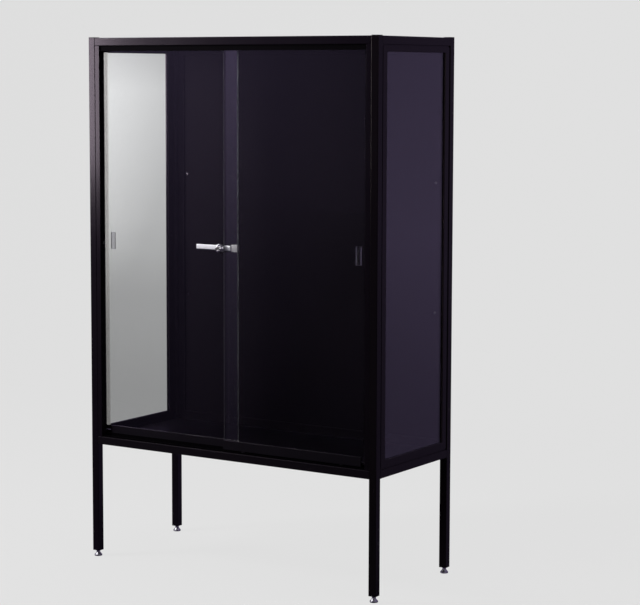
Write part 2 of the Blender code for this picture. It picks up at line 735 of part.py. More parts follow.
def build_lock_bar(chrome, parent):
    """The toothed bar. Its joggled end is a plate that hooks round the free edge of the inner pane."""
    low = BAR_CENTRE - BAR_HEIGHT / 2
    high = BAR_CENTRE + BAR_HEIGHT / 2
    ease = BAR_HEIGHT / 8
    plate_back = FRONT + INNER_LANE - CLEAR
    plate_front = plate_back - BAR_THICKNESS
    hook_inner = INNER_PANE_END + CLEAR
    hook_outer = hook_inner + BAR_THICKNESS
    plate_start = hook_outer - HOOK_PLATE
    step_start = plate_start - HOOK_JOGGLE
    nest = BAR_THICKNESS / 10
    plan = [
        (BAR_END, FRONT + BAR_FRONT),
        (step_start, FRONT + BAR_FRONT),
        (plate_start + 3 * nest, plate_front + nest),
        (plate_start + HOOK_JOGGLE, plate_front + nest),
        (plate_start + HOOK_JOGGLE, plate_back - nest),
        (plate_start - nest, plate_back - nest),
        (step_start - nest, FRONT + BAR_BACK),
        (BAR_END, FRONT + BAR_BACK),
    ]
    bar = add_object("lock_bar", prism("Z", low, high, plan), chrome, parent)
    rear = FRONT + INNER_LANE + GLASS + CLEAR
    hook = [
        (plate_start, plate_front),
        (hook_outer, plate_front),
        (hook_outer, rear + BAR_THICKNESS),
        (hook_outer - HOOK_LIP, rear + BAR_THICKNESS),
        (hook_outer - HOOK_LIP, rear),
        (hook_inner, rear),
        (hook_inner, plate_back),
        (plate_start, plate_back),
    ]
    half_hook = HOOK_HEIGHT / 2
    boolean(bar, prism("Z", BAR_CENTRE - half_hook, BAR_CENTRE + half_hook, hook), "UNION", "hook")
    first = BAR_END + 2 * ease
    count = int(TOOTH_RUN / TOOTH_PITCH)
    notches = [(first + count * TOOTH_PITCH, low - TOOTH_DEPTH), (first, low - TOOTH_DEPTH)]
    for index in range(count):
        start = first + index * TOOTH_PITCH
        notches.append((start, low - TOOTH_DEPTH / 4))
        notches.append((start + 0.25 * TOOTH_PITCH, low + TOOTH_DEPTH))
    notches.append((first + count * TOOTH_PITCH, low - TOOTH_DEPTH / 4))
    past = BAR_THICKNESS
    teeth = prism("Y", FRONT + BAR_FRONT - past, FRONT + BAR_BACK + past, notches)
    boolean(bar, teeth, "DIFFERENCE", "ratchet_teeth")


def build_lock_barrel(chrome, dark, barrel_parent):
    """The barrel that slides on the bar, and the keyed plug that turns in it."""
    centre = (BARREL_X, LOCK_HEIGHT)
    bore = PLUG_DIAMETER / 2 + CLEAR
    nose = BARREL_NOSE_DIAMETER / 2
    collar = BARREL_DIAMETER / 2
    back = FRONT + BARREL_BACK
    ease = 0.08 * BARREL_COLLAR
    profile = [
        (0.0, back),
        (collar - ease, back),
        (collar, back - ease),
        (collar, back - BARREL_COLLAR),
        (0.5 * (collar + nose) + ease, 0.4 * (back - BARREL_COLLAR) + 0.6 * FRONT),
        (nose, FRONT + ease),
        (nose - ease, FRONT),
        (bore, FRONT),
        (bore, FRONT + PLUG_LENGTH + CLEAR),
        (0.0, FRONT + PLUG_LENGTH + CLEAR),
    ]
    origin = (BARREL_X, FRONT, LOCK_HEIGHT)
    barrel = add_object("lock_barrel", turned("Y", centre, profile), chrome, barrel_parent, origin, smooth=True)
    slot = box(
        (BARREL_X - BARREL_DIAMETER, FRONT + BAR_FRONT - CLEAR, BAR_CENTRE - BAR_HEIGHT / 2 - CLEAR),
        (BARREL_X + BARREL_DIAMETER, FRONT + BAR_BACK + CLEAR, BAR_CENTRE + BAR_HEIGHT / 2 + CLEAR),
    )
    boolean(barrel, slot, "DIFFERENCE", "bar_slot")
    radius = PLUG_DIAMETER / 2
    plug_profile = [
        (0.0, FRONT + PLUG_LENGTH),
        (radius, FRONT + PLUG_LENGTH),
        (radius, FRONT + CLEAR),
        (radius - CLEAR, FRONT),
        (0.0, FRONT),
    ]
    shape = turned("Y", centre, plug_profile, SMALL_STEPS)
    plug = add_object("lock_plug", shape, dark, barrel_parent, origin, smooth=True)
    keyway = box(
        (BARREL_X - KEYWAY_WIDTH / 2, FRONT - KEYWAY_DEPTH, LOCK_HEIGHT - KEYWAY_HEIGHT / 2),
        (BARREL_X + KEYWAY_WIDTH / 2, FRONT + KEYWAY_DEPTH, LOCK_HEIGHT + KEYWAY_HEIGHT / 2),
    )
    boolean(plug, keyway, "DIFFERENCE", "keyway")


def main():
    clear_scene()
    paint = finish_material("black_paint", (0.012, 0.011, 0.014), 0.38)
    plastic = finish_material("black_plastic", (0.014, 0.013, 0.015), 0.5)
    board = finish_material("black_board", (0.012, 0.011, 0.013), 0.45)
    glass = finish_material("clear_glass", (0.93, 0.96, 0.95), 0.02, 0.0, 1.0)
    anodised = finish_material("black_anodised", (0.016, 0.015, 0.019), 0.35, 0.6)
    chrome = finish_material("chrome", (0.78, 0.78, 0.79), 0.12, 1.0)
    plug_finish = finish_material("plug_brass", (0.32, 0.31, 0.30), 0.3, 1.0)
    zinc = finish_material("zinc", (0.42, 0.42, 0.43), 0.38, 1.0)
    door_finishes = {
        "glass": glass,
        "aluminium": anodised,
        "acrylic": finish_material("clear_acrylic", (0.62, 0.63, 0.67), 0.15, 0.0, 0.7),
        "vinyl": finish_material("smoke_vinyl", (0.60, 0.60, 0.63), 0.3, 0.0, 0.8),
        "nylon": finish_material("black_nylon", (0.02, 0.02, 0.02), 0.5),
    }
    rubber = finish_material("clear_rubber", (0.75, 0.75, 0.76), 0.3, 0.0, 0.5)

    case = empty("case", (0.0, 0.0, 0.0))
    build_posts(paint, plastic, zinc, case)
    build_rails(paint, case)
    build_sides(glass, paint, paint, case)
    build_back(paint, paint, case)
    build_boards(board, case)
    build_jambs(paint, rubber, case)
    build_tracks(anodised, case)

    left_door = empty("left_door", (LEFT + PANE_EDGE, FRONT + INNER_CENTRE, RUN_TOP))
    right_door = empty("right_door", (RIGHT - PANE_EDGE, FRONT + OUTER_CENTRE, RUN_TOP))
    build_door("left", door_finishes, left_door)
    build_door("right", door_finishes, right_door)
    build_lock_bar(chrome, left_door)
    build_lock_barrel(chrome, plug_finish, right_door)


main()
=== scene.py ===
import json
import math

import bmesh
import bpy
import numpy as np
from mathutils import Matrix


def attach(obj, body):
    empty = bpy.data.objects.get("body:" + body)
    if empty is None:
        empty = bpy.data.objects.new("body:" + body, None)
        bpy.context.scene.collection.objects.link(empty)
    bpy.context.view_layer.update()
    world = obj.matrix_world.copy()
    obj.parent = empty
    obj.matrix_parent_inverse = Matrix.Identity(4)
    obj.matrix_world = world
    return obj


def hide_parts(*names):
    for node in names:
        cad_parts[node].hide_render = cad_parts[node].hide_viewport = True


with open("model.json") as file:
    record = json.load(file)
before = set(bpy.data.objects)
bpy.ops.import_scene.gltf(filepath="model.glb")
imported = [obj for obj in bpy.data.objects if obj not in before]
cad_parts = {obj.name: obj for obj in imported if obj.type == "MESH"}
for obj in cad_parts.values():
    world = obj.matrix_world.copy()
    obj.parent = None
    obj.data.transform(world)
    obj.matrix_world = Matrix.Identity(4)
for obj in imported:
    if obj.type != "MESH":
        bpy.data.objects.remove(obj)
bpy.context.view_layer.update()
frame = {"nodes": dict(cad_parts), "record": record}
nodes = frame["nodes"]
print("frame loaded:", len(nodes), "nodes")


def placeObject(name, data):
    obj = bpy.data.objects.new(name, data)
    bpy.context.scene.collection.objects.link(obj)
    return obj


# Camera, fitted to the corners of the cabinet in a 640 x 605 picture
cameraSet = {
    "place": (2.9787, -4.3361, 1.3068),
    "yaw": -33.006,  # degrees, negative looks to the left of +Y
    "pitch": 5.818,  # degrees below the horizon
    "roll": 0.161,
    "focalPixels": 2003.4,
    "pictureWidth": 640.0,
    "riseRows": 25.0,  # rows that the optical axis lies above the middle, which keeps the posts upright
    "sensor": 36.0,
    "farEnd": 60.0,
}


def addCamera(s):
    data = bpy.data.cameras.new("viewCamera")
    data.sensor_width = s["sensor"]
    data.lens = s["focalPixels"] / s["pictureWidth"] * s["sensor"]
    data.shift_y = -s["riseRows"] / s["pictureWidth"]
    data.clip_end = s["farEnd"]
    camera = placeObject("viewCamera", data)
    camera.location = s["place"]
    turn = Matrix.Rotation(math.radians(-s["yaw"]), 3, "Z")
    tilt = Matrix.Rotation(math.radians(90.0 - s["pitch"]), 3, "X")
    roll = Matrix.Rotation(math.radians(s["roll"]), 3, "Z")
    camera.rotation_euler = (turn @ tilt @ roll).to_euler()
    bpy.context.scene.camera = camera


addCamera(cameraSet)


# Node helpers
def setInputs(tree, node, inputs):
    # an output socket is linked and a plain value is set; a colour is written without its alpha
    for key, value in inputs.items():
        socket = node.inputs[key]
        if isinstance(value, bpy.types.NodeSocket):
            tree.links.new(value, socket)
        elif socket.type == "RGBA":
            socket.default_value = (*value, 1.0)
        else:
            socket.default_value = value


def addNode(tree, kind, inputs=None, **settings):
    made = tree.nodes.new(kind)
    for key, value in settings.items():
        setattr(made, key, value)
    setInputs(tree, made, inputs or {})
    return made


def newMaterial(name):
    mat = bpy.data.materials.new(name)
    mat.use_nodes = True
    return mat, mat.node_tree, mat.node_tree.nodes["Principled BSDF"]


def newGroup(name, inputs):
    # a node group whose inputs are numbers with start values
    tree = bpy.data.node_groups.new(name, "ShaderNodeTree")
    for label, start in inputs.items():
        socket = tree.interface.new_socket(label, in_out="INPUT", socket_type="NodeSocketFloat")
        socket.default_value = start
    return tree, tree.nodes.new("NodeGroupInput").outputs


def closeGroup(tree, outputs):
    # names the outputs and links what feeds them
    for label, value in outputs.items():
        kind = "NodeSocketVector" if value.type == "VECTOR" else "NodeSocketFloat"
        tree.interface.new_socket(label, in_out="OUTPUT", socket_type=kind)
    setInputs(tree, tree.nodes.new("NodeGroupOutput"), outputs)
    return tree


def placeGroup(tree, group, inputs):
    return addNode(tree, "ShaderNodeGroup", inputs, node_tree=group).outputs


def objectPlace(tree):
    return addNode(tree, "ShaderNodeTexCoord").outputs["Object"]


def trueNormal(tree):
    return addNode(tree, "ShaderNodeNewGeometry").outputs["True Normal"]


def splitAxes(tree, vector):
    return addNode(tree, "ShaderNodeSeparateXYZ", {"Vector": vector}).outputs


def noise(tree, vector, **inputs):
    return addNode(tree, "ShaderNodeTexNoise", {"Vector": vector, **inputs}).outputs["Fac"]


def calc(tree, operation, first, second=0.0, clamp=False):
    made = addNode(tree, "ShaderNodeMath", {0: first, 1: second}, operation=operation, use_clamp=clamp)
    return made.outputs[0]


def ramp(tree, value, low, high, first=0.0, second=1.0):
    # low to high is carried to first to second, and held beyond
    limits = {"From Min": low, "From Max": high, "To Min": first, "To Max": second}
    return addNode(tree, "ShaderNodeMapRange", {"Value": value, **limits}).outputs[0]


def blend(tree, fac, first, second):
    return addNode(tree, "ShaderNodeMix", {0: fac, 2: first, 3: second}, data_type="FLOAT").outputs[0]


def mixColour(tree, fac, first, second):
    return addNode(tree, "ShaderNodeMix", {0: fac, 6: first, 7: second}, data_type="RGBA").outputs[2]


def mixShader(tree, fac, first, second):
    return addNode(tree, "ShaderNodeMixShader", {0: fac, 1: first, 2: second}).outputs[0]


# Effects that several finishes share: scales of noise, and the limits that a mask rises between
effectSet = {
    "patchScale": 7.0,
    "wearHighlightTurn": (1.0, 0.86),  # cosine between the flat normal and the rounded one
    "wearHighlightScale": 60.0, "wearHighlightLimits": (0.38, 0.66),
    "dustUp": (0.3, 1.0), "dustScale": 22.0, "dustLimits": (0.4, 0.75), "dustColour": (0.06, 0.058, 0.057),
}


def coatGrainGroup(s):
    # fine orange-peel height, and roughness that drifts in soft patches
    tree, given = newGroup("coatGrain", {"Grain": 900.0, "Base": 0.35, "Drift": 0.08})
    place = objectPlace(tree)
    peel = noise(tree, place, Scale=given["Grain"], Detail=2.0, Roughness=0.55)
    patch = noise(tree, place, Scale=s["patchScale"], Detail=4.0, Roughness=0.6)
    drift = calc(tree, "MULTIPLY", calc(tree, "SUBTRACT", patch, 0.5), given["Drift"])
    rough = calc(tree, "ADD", drift, given["Base"], clamp=True)
    return closeGroup(tree, {"Height": peel, "Roughness": rough, "Patch": patch})


def edgeWearHighlightGroup(s):
    # how far a rounded normal turns from the flat one: a thin line along every hard edge, broken by noise;
    # the colour laid on it is partly worn paint and partly a painted highlight
    tree, given = newGroup("edgeWearHighlight", {"Radius": 0.0008})
    rounded = addNode(tree, "ShaderNodeBevel", {"Radius": given["Radius"]}, samples=4).outputs[0]
    both = {0: rounded, 1: trueNormal(tree)}
    agree = addNode(tree, "ShaderNodeVectorMath", both, operation="DOT_PRODUCT").outputs["Value"]
    speckle = noise(tree, objectPlace(tree), Scale=s["wearHighlightScale"], Detail=3.0)
    line = ramp(tree, agree, *s["wearHighlightTurn"])
    mask = calc(tree, "MULTIPLY", line, ramp(tree, speckle, *s["wearHighlightLimits"]), clamp=True)
    return closeGroup(tree, {"Mask": mask, "Normal": rounded})


def dustFilmGroup(s):
    # faint clouds of dust where a face looks up
    tree, given = newGroup("dustFilm", {"Amount": 0.2})
    up = ramp(tree, splitAxes(tree, trueNormal(tree))["Z"], *s["dustUp"])
    cloud = noise(tree, objectPlace(tree), Scale=s["dustScale"], Detail=6.0, Roughness=0.7)
    film = calc(tree, "MULTIPLY", up, ramp(tree, cloud, *s["dustLimits"]))
    return closeGroup(tree, {"Mask": calc(tree, "MULTIPLY", film, given["Amount"], clamp=True)})


coatGrain = coatGrainGroup(effectSet)
edgeWearHighlight = edgeWearHighlightGroup(effectSet)
dustFilm = dustFilmGroup(effectSet)


# Black finishes; sheen is the faint plum cast of what they mirror, and the edge colour is worn paint with a
# painted highlight
blackPaint = {
    "colour": (0.0040, 0.0027, 0.0045), "patch": (0.0052, 0.0037, 0.0058),
    "edgeWearHighlightColour": (0.014, 0.0115, 0.015), "edge": 0.0005, "dust": 0.05,
    "grain": 850.0, "bump": 0.10, "depth": 0.00006, "base": 0.20, "drift": 0.06,
    "metallic": 0.0, "specular": 0.26, "sheen": (1.0, 0.80, 0.98),
}
matteBlack = dict(
    blackPaint, colour=(0.0014, 0.0010, 0.0018), patch=(0.0022, 0.0016, 0.0027),
    edgeWearHighlightColour=(0.006, 0.0045, 0.007), edge=0.0008, dust=0.02,
    grain=700.0, bump=0.12, base=0.58, drift=0.10, specular=0.03,
)
coats = {
    "blackPaint": blackPaint,
    # painted shade: the right side's copy of the same black paint, with less blue and dimmer, redder
    # reflections
    "sidePaintedShade": dict(
        blackPaint, colour=(0.0040, 0.0027, 0.0040), patch=(0.0052, 0.0037, 0.0050),
        edgeWearHighlightColour=(0.012, 0.0095, 0.012), specular=0.19, sheen=(1.0, 0.80, 0.70),
    ),
    # painted light: the right front post's copy of the same black paint, lighter, with weaker reflections and
    # a thinner edge
    "postPaintedLight": dict(
        blackPaint, colour=(0.0048, 0.0034, 0.0050), patch=(0.0060, 0.0044, 0.0060),
        edgeWearHighlightColour=(0.008, 0.006, 0.008), edge=0.0002, specular=0.16, sheen=(1.0, 0.80, 0.80),
    ),
    # painted light: the bottom front rail's copy of the same black paint, lighter, with weak reflections
    "railPaintedLight": dict(
        blackPaint, colour=(0.0066, 0.0050, 0.0075), patch=(0.0078, 0.0060, 0.0087),
        edgeWearHighlightColour=(0.010, 0.008, 0.011), edge=0.0004, dust=0.02, base=0.36, specular=0.05,
    ),
    "blackPlastic": dict(
        blackPaint, colour=(0.0052, 0.0046, 0.0060), patch=(0.0070, 0.0062, 0.0078),
        edgeWearHighlightColour=(0.014, 0.0135, 0.015), edge=0.0003, dust=0.02,
        grain=1500.0, bump=0.25, depth=0.00008, base=0.60, drift=0.08, specular=0.01,
    ),
    "blackBoard": dict(
        blackPaint, colour=(0.0016, 0.0012, 0.0020), patch=(0.0025, 0.0019, 0.0030),
        edgeWearHighlightColour=(0.007, 0.0065, 0.008), dust=0.02,
        grain=420.0, bump=0.14, depth=0.00008, base=0.46, drift=0.12, specular=0.02,
    ),
    "blackAnodised": dict(
        blackPaint, colour=(0.0060, 0.0054, 0.0070), patch=(0.0085, 0.0078, 0.0095),
        edgeWearHighlightColour=(0.035, 0.034, 0.037), edge=0.0004,
        grain=1300.0, bump=0.06, depth=0.00004, base=0.33, drift=0.07, metallic=0.35, specular=0.45,
    ),
    "matteBlack": matteBlack,
    "panelBlack": dict(
        matteBlack, grain=260.0, bump=0.16, depth=0.00008,
        rearFacing=(0.6, 0.9), rearCoat=0.9, coatRough=0.34,
    ),
    # painted shade: darker than the paint, for the recessed track faces
    "trackPaintedShade": dict(
        blackPaint, colour=(0.0014, 0.0011, 0.0017), patch=(0.0020, 0.0016, 0.0024),
        edgeWearHighlightColour=(0.006, 0.005, 0.007), edge=0.0003, dust=0.02,
        grain=1300.0, bump=0.08, depth=0.00004, base=0.52, drift=0.08, specular=0.02,
    ),
    "rollerNylon": dict(
        blackPaint, colour=(0.018, 0.018, 0.019), patch=(0.026, 0.026, 0.027),
        edgeWearHighlightColour=(0.05, 0.05, 0.05), edge=0.0004, dust=0.1,
        grain=700.0, base=0.46, drift=0.08, specular=0.5,
    ),
}


def makeCoat(name, s):
    # black finish: soft patches, then rubbed edges that also carry a painted highlight, then dust, over an
    # orange-peel bump
    mat, tree, shader = newMaterial(name)
    grain = placeGroup(tree, coatGrain, {"Grain": s["grain"], "Base": s["base"], "Drift": s["drift"]})
    wearHighlight = placeGroup(tree, edgeWearHighlight, {"Radius": s["edge"]})
    dust = placeGroup(tree, dustFilm, {"Amount": s["dust"]})
    colour = mixColour(tree, grain["Patch"], s["colour"], s["patch"])
    # lighter edges: worn paint and a painted highlight
    colour = mixColour(tree, wearHighlight["Mask"], colour, s["edgeWearHighlightColour"])
    colour = mixColour(tree, dust["Mask"], colour, effectSet["dustColour"])
    bump = addNode(tree, "ShaderNodeBump", {
        "Strength": s["bump"], "Distance": s["depth"], "Height": grain["Height"], "Normal": wearHighlight["Normal"],
    })
    setInputs(tree, shader, {
        "Base Color": colour, "Roughness": grain["Roughness"], "Normal": bump.outputs[0],
        "Metallic": s["metallic"], "Specular IOR Level": s["specular"], "Specular Tint": s["sheen"],
    })
    if "rearCoat" in s:
        # lacquer on the faces that look to the rear
        rearward = splitAxes(tree, trueNormal(tree))["Y"]
        lacquer = ramp(tree, rearward, *s["rearFacing"], 0.0, s["rearCoat"])
        setInputs(tree, shader, {"Coat Weight": lacquer, "Coat Roughness": s["coatRough"]})
    return mat


# Plated metals; stretch sets the run of the polish lines
metals = {
    "satinChrome": {
        "colour": (0.93, 0.93, 0.94), "worn": (0.80, 0.79, 0.78), "rough": 0.42, "drift": 0.10,
        "stretch": (40, 40, 900),
        "plateFrom": -0.0010, "plateSoft": 0.0004, "plateColour": (0.36, 0.35, 0.36),
    },
    "polishedChrome": {
        "colour": (0.80, 0.79, 0.80), "worn": (0.62, 0.61, 0.61), "rough": 0.13, "drift": 0.07,
        "stretch": (300, 60, 300),
    },
    "plugMetal": {
        "colour": (0.40, 0.39, 0.38), "worn": (0.22, 0.21, 0.20), "rough": 0.26, "drift": 0.14,
        "stretch": (600, 600, 600),
    },
    "zinc": {
        "colour": (0.52, 0.52, 0.53), "worn": (0.32, 0.315, 0.31), "rough": 0.32, "drift": 0.18,
        "stretch": (260, 260, 700),
    },
}
plateSet = {
    "edge": 0.0004,  # rounding that shows on hard edges
    "dullScale": 120.0, "dullLimits": (0.52, 0.74), "lineLimits": (0.3, 0.7), "bump": 0.05, "depth": 0.00004,
}


def makeMetal(name, s):
    # plated metal: polish lines stretched along one axis, dull patches, and where set a darker colour past an
    # X
    mat, tree, shader = newMaterial(name)
    place = objectPlace(tree)
    run = addNode(tree, "ShaderNodeMapping", {"Vector": place, "Scale": s["stretch"]}).outputs[0]
    lines = noise(tree, run, Scale=1.0, Detail=4.0, Roughness=0.65)
    patch = noise(tree, place, Scale=plateSet["dullScale"], Detail=3.0)
    dull = ramp(tree, patch, *plateSet["dullLimits"])
    colour = mixColour(tree, dull, s["colour"], s["worn"])
    if "plateFrom" in s:
        low, high = s["plateFrom"] - s["plateSoft"], s["plateFrom"] + s["plateSoft"]
        colour = mixColour(tree, ramp(tree, splitAxes(tree, place)["X"], low, high), colour, s["plateColour"])
    wearHighlight = placeGroup(tree, edgeWearHighlight, {"Radius": plateSet["edge"]})
    bump = addNode(tree, "ShaderNodeBump", {
        "Strength": plateSet["bump"], "Distance": plateSet["depth"], "Height": lines, "Normal": wearHighlight["Normal"],
    })
    setInputs(tree, shader, {
        "Base Color": colour, "Metallic": 1.0, "Normal": bump.outputs[0],
        "Roughness": ramp(tree, lines, *plateSet["lineLimits"], s["rough"], s["rough"] + s["drift"]),
    })
    return mat


# Clear finishes; faceAxis is the way that the polished faces look, shade the light left in a shadow
clearGlass = {
    "face": (0.985, 0.992, 0.990), "edge": (0.64, 0.68, 0.76), "faceAxis": "Y",
    "rough": 0.0, "smear": 0.005, "edgeRough": 0.28, "ior": 1.5, "shade": 0.88,
}
clears = {
    "clearGlass": clearGlass,
    "sideGlass": dict(clearGlass, faceAxis="X"),
    "guardedGlass": dict(clearGlass, guardFrom=-0.0178, guardSoft=0.0004, guardIor=1.8),
    "clearAcrylic": dict(
        clearGlass, face=(0.70, 0.69, 0.72), edge=(0.52, 0.51, 0.56),
        rough=0.12, smear=0.08, edgeRough=0.2, ior=1.35, shade=0.7,
    ),
    "smokeVinyl": dict(
        clearGlass, face=(0.76, 0.745, 0.74), edge=(0.64, 0.625, 0.63),
        rough=0.05, smear=0.04, edgeRough=0.16, ior=1.15, shade=0.7,
    ),
    "clearRubber": dict(
        clearGlass, face=(0.86, 0.86, 0.87), edge=(0.8, 0.8, 0.81),
        rough=0.25, smear=0.10, edgeRough=0.3, ior=1.45, shade=0.7,
    ),
}
wipeSet = {"stretch": (5.0, 5.0, 1.6), "turn": (0.5, 0.3, 0.2), "scale": 2.2, "limits": (0.5, 0.8)}


def makeClear(name, s):
    # clear sheet: polished faces with faint wiping marks, and ground edges where the normal leaves faceAxis
    mat, tree, shader = newMaterial(name)
    place = objectPlace(tree)
    wipe = {"Vector": place, "Scale": wipeSet["stretch"], "Rotation": wipeSet["turn"]}
    run = addNode(tree, "ShaderNodeMapping", wipe).outputs[0]
    smear = noise(tree, run, Scale=wipeSet["scale"], Detail=7.0, Roughness=0.68, Distortion=1.2)
    marks = ramp(tree, smear, *wipeSet["limits"], s["rough"], s["rough"] + s["smear"])
    square = calc(tree, "ABSOLUTE", splitAxes(tree, trueNormal(tree))[s["faceAxis"]])
    edge = calc(tree, "SUBTRACT", 1.0, square, clamp=True)
    setInputs(tree, shader, {
        "Base Color": mixColour(tree, edge, s["face"], s["edge"]),
        "Roughness": blend(tree, edge, marks, s["edgeRough"]),
        "IOR": s["ior"], "Transmission Weight": 1.0,
    })
    if "guardFrom" in s:
        # a clear guard film along the free edge, which mirrors a little more than the bare glass
        film = ramp(tree, splitAxes(tree, place)["X"], s["guardFrom"], s["guardFrom"] + s["guardSoft"])
        setInputs(tree, shader, {"Coat Weight": film, "Coat IOR": s["guardIor"]})
    # light for shadows passes straight through
    shadow = addNode(tree, "ShaderNodeLightPath").outputs["Is Shadow Ray"]
    through = addNode(tree, "ShaderNodeBsdfTransparent", {"Color": (s["shade"],) * 3}).outputs[0]
    surface = mixShader(tree, shadow, shader.outputs[0], through)
    setInputs(tree, tree.nodes["Material Output"], {"Surface": surface})
    return mat


finishes = {name: makeCoat(name, s) for name, s in coats.items()}
finishes.update({name: makeMetal(name, s) for name, s in metals.items()})
finishes.update({name: makeClear(name, s) for name, s in clears.items()})
print("finishes made:", len(finishes))

# Each solid takes the finish of its slot, or one named for it alone
slotFinish = {
    "black_paint": "blackPaint", "black_plastic": "blackPlastic", "black_board": "blackBoard",
    "black_anodised": "blackAnodised", "roller_nylon": "rollerNylon", "clear_glass": "clearGlass",
    "clear_acrylic": "clearAcrylic", "smoke_vinyl": "smokeVinyl", "clear_rubber": "clearRubber",
    "chrome": "polishedChrome", "plug_metal": "plugMetal", "zinc": "zinc",
}
nodeFinish = {
    "back_panel": "panelBlack", "back_bead": "matteBlack",
    "side_inner_bead_left": "matteBlack", "side_inner_bead_right": "matteBlack",
    "upper_track": "trackPaintedShade", "lower_track": "trackPaintedShade",
    "side_glass_left": "sideGlass", "side_glass_right": "sideGlass", "door_glass_left": "guardedGlass",
    "rail_bottom_front": "railPaintedLight", "rail_bottom_right": "sidePaintedShade", "rail_top_right": "sidePaintedShade",
    "side_outer_bead_right": "sidePaintedShade", "post_front_right": "postPaintedLight", "post_rear_right": "sidePaintedShade",
}
slotOf = {p["node"]: p["material_slot"] for p in frame["record"]["subparts"]}


def dress(obj, finish):
    obj.data.materials.clear()
    obj.data.materials.append(finishes[finish])


for nodeName, nodeObject in nodes.items():
    dress(nodeObject, nodeFinish.get(nodeName, slotFinish[slotOf[nodeName]]))
print("solids dressed")


# New pieces: surfaces from grids of two parameters
def gridMesh(name, points, closed=True):
    # grids of points (u, v, xyz), one or a stack of them, become quads; v wraps round where closed
    grids = points.reshape(-1, *points.shape[-3:])
    index = np.arange(grids[..., 0].size).reshape(grids.shape[:3])
    if closed:
        index = np.concatenate([index, index[:, :, :1]], axis=2)
    corners = [index[:, :-1, :-1], index[:, 1:, :-1], index[:, 1:, 1:], index[:, :-1, 1:]]
    quads = np.stack(corners, axis=-1).reshape(-1, 4)
    mesh = bpy.data.meshes.new(name)
    mesh.from_pydata(grids.reshape(-1, 3).tolist(), [], quads.tolist())
    mesh.update()
    return placeObject(name, mesh)


weldReach = 2e-7  # metres within which points become one
sliverReach = 1e-8  # metres under which an edge is dropped
poleRadius = 1e-9  # a ring this small welds to a point


def finishPiece(obj, finish, rides, replaces=None, sharp=35.0):
    # weld the seams, shade smooth up to an angle, and hand the piece to the frame
    shape = bmesh.new()
    shape.from_mesh(obj.data)
    bmesh.ops.remove_doubles(shape, verts=shape.verts, dist=weldReach)
    bmesh.ops.dissolve_degenerate(shape, edges=shape.edges, dist=sliverReach)
    bmesh.ops.recalc_face_normals(shape, faces=shape.faces)
    shape.to_mesh(obj.data)
    shape.free()
    obj.data.shade_smooth()
    obj.data.set_sharp_from_angle(angle=math.radians(sharp))
    dress(obj, finish)
    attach(obj, rides)
    if replaces:
        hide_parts(replaces)


def fullTurn(steps):
    return np.linspace(0.0, 2.0 * np.pi, steps, endpoint=False)


def onwards(start, end, count):
    # count even steps from start to end, without the start itself
    return np.linspace(start, end, count + 1)[1:]


def turnedGrid(radius, along, angle):
    # a profile turned round an axis: radius times cosine and sine across it, and the profile's place along it
    across = radius[:, None] * np.cos(angle)
    upright = radius[:, None] * np.sin(angle)
    return across, upright, np.broadcast_to(along[:, None], across.shape)


def sweptGrid(x, y, out, z):
    # a section carried along a plan: the path plus out times the path's normal, at the height z
    alongX, alongY = np.gradient(x), np.gradient(y)
    length = np.hypot(alongX, alongY)
    sweptX = x[:, None] - (alongY / length)[:, None] * out
    sweptY = y[:, None] + (alongX / length)[:, None] * out
    return np.stack([sweptX, sweptY, np.broadcast_to(z, sweptX.shape)], axis=-1)


def roundedEnd(depth, reach):
    # a quarter circle: 0 at the very end, and 1 from reach onwards
    inset = 1.0 - np.clip(depth / reach, 0.0, 1.0)
    return np.sqrt(1.0 - inset ** 2)


def cutAway(obj, low, high):
    # takes a box from low to high out of a piece
    sides = np.meshgrid(*zip(low, high), indexing="ij")
    corners = np.stack(sides, axis=-1).reshape(-1, 3)
    quads = [(0, 1, 3, 2), (4, 6, 7, 5), (0, 4, 5, 1), (2, 3, 7, 6), (0, 2, 6, 4), (1, 5, 7, 3)]
    mesh = bpy.data.meshes.new("cutter")
    mesh.from_pydata(corners.tolist(), [], quads)
    cutter = placeObject("cutter", mesh)
    change = obj.modifiers.new("cut", "BOOLEAN")
    change.object = cutter
    change.solver = "EXACT"
    graph = bpy.context.evaluated_depsgraph_get()
    result = bpy.data.meshes.new_from_object(obj.evaluated_get(graph))
    obj.modifiers.clear()
    obj.data = result
    bpy.data.objects.remove(cutter, do_unlink=True)


footSet = {
    "x": 0.4395, "y": 0.177,  # the legs' middles
    "rim": 0.0105, "rimHeight": 0.0042, "rimBulge": 0.35, "rimRings": 9,
    "coneTop": 0.0110, "coneHollow": 0.8, "coneRings": 9,
    "neckFlat": 0.0046, "neckCorner": 1.13, "neckLow": 0.0113, "neckTop": 0.0157, "neckRings": 5,
    "stud": 0.0040, "studLow": 0.0158, "studTop": 0.0515,
    "thread": 0.0003, "pitch": 0.00125, "ringsPerPitch": 5, "steps": 48,
}


